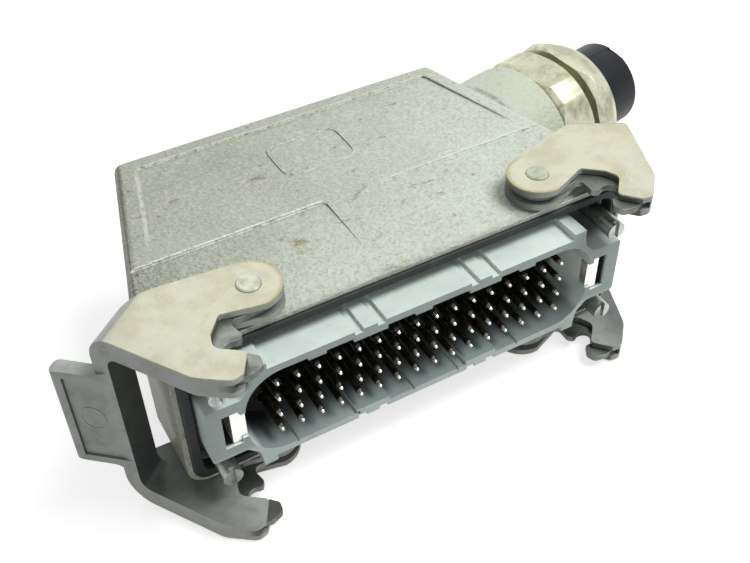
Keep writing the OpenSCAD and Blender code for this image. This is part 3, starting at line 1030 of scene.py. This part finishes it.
INSERT_FINISH = InsertMoulding(
    "insert_moulding", (211, 224, 218), (198, 212, 207), Coat((152, 162, 158), 0.25)
)
BUSH_FINISH = Moulding(
    "bush_moulding", (3, 9, 17), (7, 14, 24), Coat((28, 38, 46), 0.2), 0.42, 0.05 * MM, 0.2
)
SEAL_FINISH = Moulding(
    "seal_rubber", (30, 34, 35), (44, 48, 47), Coat((88, 92, 86), 0.35), 0.6, 0.05 * MM
)
EARTH_FINISH = Metal("earth_plating", (255, 255, 250), (240, 240, 232), 0.4)
ZINC_FINISH = Metal(
    "zinc_plating", (190, 194, 190), (142, 147, 144), 0.24, Clouds(6 * MM, 4, 0.65), 0.005 * MM
)
STEEL_FINISH = Metal("hook_steel", (120, 125, 118), (94, 97, 90), 0.42, Clouds(6 * MM, 4, 0.65))
PIVOT_FINISH = Metal("pivot_steel", (172, 176, 162), (146, 148, 134), 0.5)
GLAND_FINISH = Metal(
    "gland_plating", (200, 200, 176), (152, 151, 130), 0.38, Clouds(7 * MM, 4, 0.65), 0.05 * MM
)


# --------------------------------------------------------------- mesh tools


def dress(thing: bpy.types.Object, material: bpy.types.Material) -> bpy.types.Object:
    """Give an object one material.

    Args:
        thing: The object.
        material: The material.

    Returns:
        The same object.
    """
    thing.data.materials.clear()
    thing.data.materials.append(material)
    return thing


def dress_nodes(names: Sequence[str], material: bpy.types.Material) -> list[bpy.types.Object]:
    """Give some CAD nodes one material, and leave their shapes alone.

    Args:
        names: The nodes.
        material: The material.

    Returns:
        The nodes' objects.
    """
    return [dress(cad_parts[name], material) for name in names]


def shade_smooth(mesh: bpy.types.Mesh) -> None:
    """Shade every face of a mesh smoothly."""
    mesh.polygons.foreach_set("use_smooth", np.ones(len(mesh.polygons), dtype=bool))


def stand(name: str, data: bpy.types.ID) -> bpy.types.Object:
    """Put a mesh, a lamp or a camera into the scene, at the origin.

    Args:
        name: The object's name.
        data: The mesh, the lamp's data or the camera's data.

    Returns:
        The new object.
    """
    made = bpy.data.objects.new(name, data)
    bpy.context.scene.collection.objects.link(made)
    return made


def softened(
    node: str, body: str, width: float, material: bpy.types.Material
) -> bpy.types.Object:
    """Stand a copy with rounded edges in for a CAD node.

    The copy is the node's own mesh with its doubled points merged and its flat faces
    joined, and a bevel rounds each sharp edge.

    Args:
        node: The CAD node.
        body: The body it rides on.
        width: Width of the rounding, in metres.
        material: Its material.

    Returns:
        The new object.
    """
    work = bmesh.new()
    work.from_mesh(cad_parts[node].data)
    bmesh.ops.remove_doubles(work, verts=work.verts, dist=MERGE_DISTANCE)
    bmesh.ops.dissolve_limit(work, angle_limit=FLAT_ANGLE, verts=work.verts, edges=work.edges)
    mesh = bpy.data.meshes.new(f"{node}_soft")
    work.to_mesh(mesh)
    work.free()
    mesh.set_sharp_from_angle(angle=NODE_SHARP_ANGLE)
    shade_smooth(mesh)
    made = stand(f"{node}_soft", mesh)
    bevel = made.modifiers.new("rounding", "BEVEL")
    bevel.width = width
    bevel.segments = ROUNDING_STEPS
    bevel.limit_method = "ANGLE"
    bevel.angle_limit = NODE_SHARP_ANGLE
    bevel.use_clamp_overlap = True
    bevel.harden_normals = True
    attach(made, body)
    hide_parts(node)
    return dress(made, material)


def swept(
    name: str, points: np.ndarray, body: str, material: bpy.types.Material
) -> bpy.types.Object:
    """Join closed profiles that follow each other round closed paths.

    Each point is joined with the next one of its profile, and with the point of the same
    number in the next profile, which after the last one is the path's first.

    Args:
        name: The object's name.
        points: The points, as an array of paths, profiles, points and coordinates.
        body: The body it rides on.
        material: Its material.

    Returns:
        The new object.
    """
    number = np.arange(points[..., 0].size).reshape(points.shape[:3])
    beside, after = np.roll(number, -1, axis=2), np.roll(number, -1, axis=1)
    across = np.roll(beside, -1, axis=1)
    faces = np.stack([number, beside, across, after], axis=-1).reshape(-1, 4)
    mesh = bpy.data.meshes.new(name)
    mesh.from_pydata(points.reshape(-1, 3).tolist(), [], faces.tolist())
    work = bmesh.new()
    work.from_mesh(mesh)
    bmesh.ops.recalc_face_normals(work, faces=work.faces)
    work.to_mesh(mesh)
    work.free()
    shade_smooth(mesh)
    mesh.set_sharp_from_angle(angle=SWEPT_SHARP_ANGLE)
    made = stand(name, mesh)
    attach(made, body)
    return dress(made, material)


@dataclass(frozen=True)
class RaisedOutline:
    """A plain raised line that closes on itself, such as a blank label's frame.

    It lies on two unit directions through its centre. The profile is given in shares of
    the line's width, and runs from foot to foot.
    """

    name: str
    centre: Point
    along: Point
    across: Point
    half_along: float
    half_across: float
    squareness: float
    width: float
    height: float = 0.3 * MM
    sink: float = 0.1 * MM
    profile: tuple[float, ...] = (0.0, 0.18, 0.82, 1.0)
    steps: int = 96

    def build(self, body: str, slot: str, material: bpy.types.Material) -> bpy.types.Object:
        """Sweep a low bevelled profile along a superellipse.

        The path is centre + a sgn(cos t) |cos t|^(2/n) along + b sgn(sin t) |sin t|^(2/n)
        across, where n is the squareness, and the profile grows from it outwards and up.

        Args:
            body: The body it rides on.
            slot: The record's material slot, which is not used.
            material: Its material.

        Returns:
            The new object.
        """
        along, across = np.array(self.along), np.array(self.across)
        normal = np.cross(along, across)
        turn = np.linspace(0.0, 2.0 * np.pi, self.steps, endpoint=False)
        power = 2.0 / self.squareness
        cos, sin = (np.sign(v) * np.abs(v) ** power for v in (np.cos(turn), np.sin(turn)))
        offset = np.array(self.profile) * self.width
        lift = np.array([-self.sink, self.height, self.height, -self.sink])
        points = (
            np.array(self.centre)
            + (cos[:, None] * (self.half_along + offset))[..., None] * along
            + (sin[:, None] * (self.half_across + offset))[..., None] * across
            + lift[None, :, None] * normal
        )
        return swept(self.name, points[None], body, material)


# --------------------------------------------------------------- assemblies


@dataclass
class Hood:
    """The die-cast hood with its seal and pivot pins."""

    edge: float = 0.35 * MM

    # The blank label's frame lies on the broad face, which falls towards the back.
    label_centre: Point = (-1.1 * MM, 55.6 * MM, 21.29 * MM)
    label_half: Span = (9.6 * MM, 6.8 * MM)
    label_squareness: float = 6.0
    label_line: float = 0.6 * MM
    face_run: float = 29.6 * MM
    face_fall: float = 0.45 * MM

    def build(self) -> list[bpy.types.Object]:
        """Round and dress the hood, its seal and its pivot pins, and frame its blank label.

        Returns:
            The pieces.
        """
        paint = CastPaint().material()
        return [
            softened("hood_shell", "root", self.edge, paint),
            self.label_frame(paint),
            softened("rim_seal", "root", self.edge, SEAL_FINISH.material()),
            *dress_nodes(("left_pivot_pins", "right_pivot_pins"), PIVOT_FINISH.material()),
        ]

    def label_frame(self, paint: bpy.types.Material) -> bpy.types.Object:
        """Raise a plain frame where a label would stand.

        Args:
            paint: The hood's material.

        Returns:
            The frame.
        """
        fall = math.atan2(self.face_fall, self.face_run)
        return RaisedOutline(
            "hood_label_frame",
            centre=self.label_centre,
            along=(1.0, 0.0, 0.0),
            across=(0.0, math.cos(fall), -math.sin(fall)),
            half_along=self.label_half[0],
            half_across=self.label_half[1],
            squareness=self.label_squareness,
            width=self.label_line,
        ).build("root", "hood_casting", paint)


@dataclass
class Insert:
    """The moulded insert with its contacts, earth parts and screws."""

    edge: float = 0.2 * MM
    rows: tuple[str, ...] = ("a", "b", "c", "d")
    columns: int = 16
    pitch: float = 5.08 * MM

    # The low collar round each contact: its profile, in radius and in depth from the floor.
    well_floor: float = 12.0 * MM
    collar_radii: tuple[float, ...] = (1.42 * MM, 1.42 * MM, 1.85 * MM, 2.05 * MM)
    collar_depths: tuple[float, ...] = (0.1 * MM, -0.55 * MM, -0.55 * MM, 0.1 * MM)
    collar_steps: int = 20

    def build(self) -> list[bpy.types.Object]:
        """Round and dress the insert, its contacts, earth parts and screws.

        Returns:
            The pieces.
        """
        plastic = INSERT_FINISH.material()
        contacts = [f"contact_row_{row}" for row in self.rows]
        return [
            softened("insert_body", "root", self.edge, plastic),
            self.collars(plastic),
            *dress_nodes(contacts, ContactPlating().material()),
            *dress_nodes(("earth_contact_left", "earth_contact_right"), EARTH_FINISH.material()),
            *dress_nodes(("earth_screws", "fixing_screws"), ZINC_FINISH.material()),
        ]

    def collars(self, plastic: bpy.types.Material) -> bpy.types.Object:
        """Raise a low collar round each contact on the floor of the well.

        Each collar turns a four-sided profile about its contact's axis.

        Args:
            plastic: The insert's material.

        Returns:
            The collars, as one piece.
        """
        turn = np.linspace(0.0, 2.0 * np.pi, self.collar_steps, endpoint=False)
        column = (np.arange(self.columns) - (self.columns - 1) / 2) * self.pitch
        row = (np.arange(len(self.rows)) - (len(self.rows) - 1) / 2) * self.pitch
        radius = np.array(self.collar_radii)
        grid_x, grid_z = (v.ravel()[:, None, None] for v in np.meshgrid(column, row))
        points = np.empty((grid_x.shape[0], self.collar_steps, len(radius), 3))
        points[..., 0] = grid_x + np.cos(turn)[None, :, None] * radius
        points[..., 1] = np.array(self.collar_depths) + self.well_floor
        points[..., 2] = grid_z + np.sin(turn)[None, :, None] * radius
        return swept("contact_collars", points, "root", plastic)


# How far each lever is turned at rest, in degrees.
LEVER_ANGLES = ((Side.LEFT, 0.0), (Side.RIGHT, 10.5))


@dataclass
class LockingLever:
    """One locking lever with its hook plates and rivets."""

    side: Side
    angle: float
    paint: bpy.types.Material
    steel: bpy.types.Material
    rivet: bpy.types.Material
    edge: float = 0.45 * MM
    plate_edge: float = 0.15 * MM

    # The thumb tab: its turn on the lever in degrees, where it starts, as a reach along
    # the lever and one across it, and the middle of its sunk panel, as a reach along the
    # tab and a depth under its face.
    tab_turn: float = 41.6
    tab_start: Span = (32.3 * MM, 0.3 * MM)
    panel_middle: Span = (7.6 * MM, 0.8 * MM)
    ring_half: Span = (2.6 * MM, 3.2 * MM)
    ring_squareness: float = 2.4
    ring_line: float = 0.4 * MM

    def build(self) -> list[bpy.types.Object]:
        """Round and dress the lever's pieces.

        Returns:
            The pieces.
        """
        name = self.side.name.lower()
        body = f"{name}_lever"
        return [
            softened(f"{name}_lever_frame", body, self.edge, self.paint),
            softened(f"{name}_hook_plates", body, self.plate_edge, self.steel),
            *dress_nodes((f"{name}_lever_rivets",), self.rivet),
            self.badge(name, body),
        ]

    def badge(self, name: str, body: str) -> bpy.types.Object:
        """Raise a plain oval ring on the thumb tab's sunk panel.

        The tab's own axes are turned by its angle on the lever, then by the lever's angle,
        and mirrored for the left lever.

        Args:
            name: The lever's side, in small letters.
            body: The body it rides on.

        Returns:
            The ring.
        """
        sign = float(self.side.value)
        lever, tab = math.radians(self.angle), math.radians(self.angle + self.tab_turn)
        along = np.array([math.cos(tab), math.sin(tab)])
        out = np.array([math.sin(tab), -math.cos(tab)])
        start = np.array([math.cos(lever), math.sin(lever)]) * self.tab_start[0]
        start += np.array([-math.sin(lever), math.cos(lever)]) * self.tab_start[1]
        spot = np.array(PIVOT) + start + along * self.panel_middle[0] - out * self.panel_middle[1]
        return RaisedOutline(
            f"{name}_tab_badge",
            centre=(sign * float(spot[0]), float(spot[1]), 0.0),
            along=(sign * float(along[0]), float(along[1]), 0.0),
            across=(0.0, 0.0, -sign),
            half_along=self.ring_half[0],
            half_across=self.ring_half[1],
            squareness=self.ring_squareness,
            width=self.ring_line,
        ).build(body, "lever_casting", self.paint)


@dataclass
class Gland:
    """The cable gland on the hood's neck."""

    edge: float = 0.3 * MM

    def build(self) -> list[bpy.types.Object]:
        """Round and dress the gland's pieces.

        Returns:
            The pieces.
        """
        plating = GLAND_FINISH.material()
        return [
            softened("gland_body", "root", self.edge, plating),
            softened("gland_nut", "root", self.edge, plating),
            softened("gland_bush", "root", self.edge, BUSH_FINISH.material()),
            *dress_nodes(("gland_washer", "gland_grommet"), SEAL_FINISH.material()),
        ]


# -------------------------------------------------------------------- stage


@dataclass(frozen=True)
class Softbox:
    """A square area lamp: its place, its side in metres and its power in watts."""

    name: str
    place: Point
    side: float
    power: float

    def build(self, target: Point) -> None:
        """Hang the lamp.

        Args:
            target: The point that it faces.
        """
        data = bpy.data.lights.new(self.name, "AREA")
        data.shape = "SQUARE"
        data.size = self.side
        data.energy = self.power
        lamp = stand(self.name, data)
        lamp.location = self.place
        aim = Vector(target) - Vector(self.place)
        lamp.rotation_euler = aim.to_track_quat("-Z", "Y").to_euler()


@dataclass
class Studio:
    """A white sweep, soft lamps and the camera."""

    # The camera: its orbit about the origin and its roll in degrees, its distance, its
    # sideways shift and its lens.
    azimuth: float = -28.745
    elevation: float = 42.896
    roll: float = -1.330
    distance: float = 238.692 * MM
    aside: Span = (12.399 * MM, -14.668 * MM)
    lens: float = 49.025
    sensor: float = 36.0
    clip: Span = (0.01, 20.0)

    # The lamps, and the point that they face.
    softboxes: tuple[Softbox, ...] = (
        Softbox("softbox_key", (0.42, -0.2, 0.85), 0.45, 8.6),
        Softbox("softbox_back", (0.1, 0.8, 0.6), 0.6, 2.4),
        Softbox("softbox_front", (-0.5, -0.8, 0.35), 0.6, 1.7),
    )
    target: Point = (0.0, 0.03, 0.0)

    # The light of the sky, and the floor: half its side, its linear grey, and the light
    # added where it is seen, which grows with the distance from the object.
    sky: float = 0.2
    floor_half: float = 6.0
    floor_grey: Colour = (0.5, 0.5, 0.5)
    glow: Span = (0.7, 0.95)
    glow_reach: Span = (0.2, 0.9)

    def camera(self) -> None:
        """Place the camera: an orbit about the origin, then a sideways shift and a roll."""
        turn, lift, tilt = (math.radians(v) for v in (self.azimuth, self.elevation, self.roll))
        back = np.array(
            [math.sin(turn) * math.cos(lift), -math.cos(turn) * math.cos(lift), math.sin(lift)]
        )
        right = np.array([math.cos(turn), math.sin(turn), 0.0])
        up = np.cross(back, right)
        right_rolled = right * math.cos(tilt) + up * math.sin(tilt)
        up_rolled = -right * math.sin(tilt) + up * math.cos(tilt)
        place = back * self.distance - right_rolled * self.aside[0] - up_rolled * self.aside[1]
        pose = np.eye(4)
        pose[:3] = np.stack([right_rolled, up_rolled, back, place], axis=1)
        data = bpy.data.cameras.new("camera")
        data.lens = self.lens
        data.sensor_width = self.sensor
        data.clip_start, data.clip_end = self.clip
        eye = stand("camera", data)
        eye.matrix_world = Matrix(pose.tolist())
        bpy.context.scene.camera = eye

    def seen_share(self, g: Graph) -> Socket:
        """1 for camera, glossy and transmission rays, and 0 for the rest."""
        path = g.node("ShaderNodeLightPath").outputs
        return g.most(path["Is Camera Ray"], path["Is Glossy Ray"], path["Is Transmission Ray"])

    def world(self) -> None:
        """Light from all round, and plain white where the sky itself is seen."""
        world = bpy.data.worlds.new("studio")
        bpy.context.scene.world = world
        g = Graph(world)
        mix = g.node("ShaderNodeMixShader")
        g.feed(mix.inputs[0], self.seen_share(g))
        # Input 1 of the mix is the light that falls on the object, and input 2 is what is seen.
        for socket, strength in ((1, self.sky), (2, 1.0)):
            light = g.node("ShaderNodeBackground")
            light.inputs["Color"].default_value = WHITE
            light.inputs["Strength"].default_value = strength
            g.feed(mix.inputs[socket], light.outputs[0])
        g.feed(g.node("ShaderNodeOutputWorld").inputs[0], mix.outputs[0])

    def floor(self) -> None:
        """A wide pale floor at the object's foot, which keeps the object's shadow."""
        corners = np.array([(-1, -1, 0), (1, -1, 0), (1, 1, 0), (-1, 1, 0)]) * self.floor_half
        corners[:, 2] = CAD_BOUNDS[0][2]
        mesh = bpy.data.meshes.new("floor")
        mesh.from_pydata(corners.tolist(), [], [(0, 1, 2, 3)])
        g = Graph(bpy.data.materials.new("floor_white"))
        span = g.node("ShaderNodeVectorMath", operation="LENGTH")
        g.feed(span.inputs[0], g.position)
        glow = g.ramp(span.outputs["Value"], self.glow_reach, self.glow)
        seen = g.node("ShaderNodeEmission")
        g.feed(seen.inputs["Strength"], g.times(self.seen_share(g), glow))
        matt = g.node("ShaderNodeBsdfDiffuse")
        matt.inputs["Color"].default_value = (*self.floor_grey, 1.0)
        both = g.node("ShaderNodeAddShader")
        g.feed(both.inputs[0], matt.outputs[0])
        g.feed(both.inputs[1], seen.outputs[0])
        g.feed(g.node("ShaderNodeOutputMaterial").inputs[0], both.outputs[0])
        plane = dress(stand("floor", mesh), g.owner)

    def build(self) -> None:
        """Set up the camera, the world, the floor and the lamps."""
        self.camera()
        self.world()
        self.floor()
        for softbox in self.softboxes:
            softbox.build(self.target)
        bpy.context.scene.view_settings.view_transform = "Standard"
        LOG.info("studio ready")


def report(assembly: str, pieces: Sequence[bpy.types.Object]) -> None:
    """Report the pieces of a sub-assembly.

    Args:
        assembly: What they belong to.
        pieces: The pieces.
    """
    for piece in pieces:
        LOG.info("%s: %s dressed", assembly, piece.name)


def main() -> None:
    """Build the stage, then dress and report every sub-assembly in turn."""
    logging.basicConfig(level=logging.INFO, format="%(name)s: %(message)s")
    Studio().build()
    report("hood", Hood().build())
    report("insert", Insert().build())
    finishes = LeverPaint().material(), STEEL_FINISH.material(), PIVOT_FINISH.material()
    for side, angle in LEVER_ANGLES:
        report(f"{side.name.lower()} lever", LockingLever(side, angle, *finishes).build())
    report("gland", Gland().build())


if __name__ == "__main__":
    main()
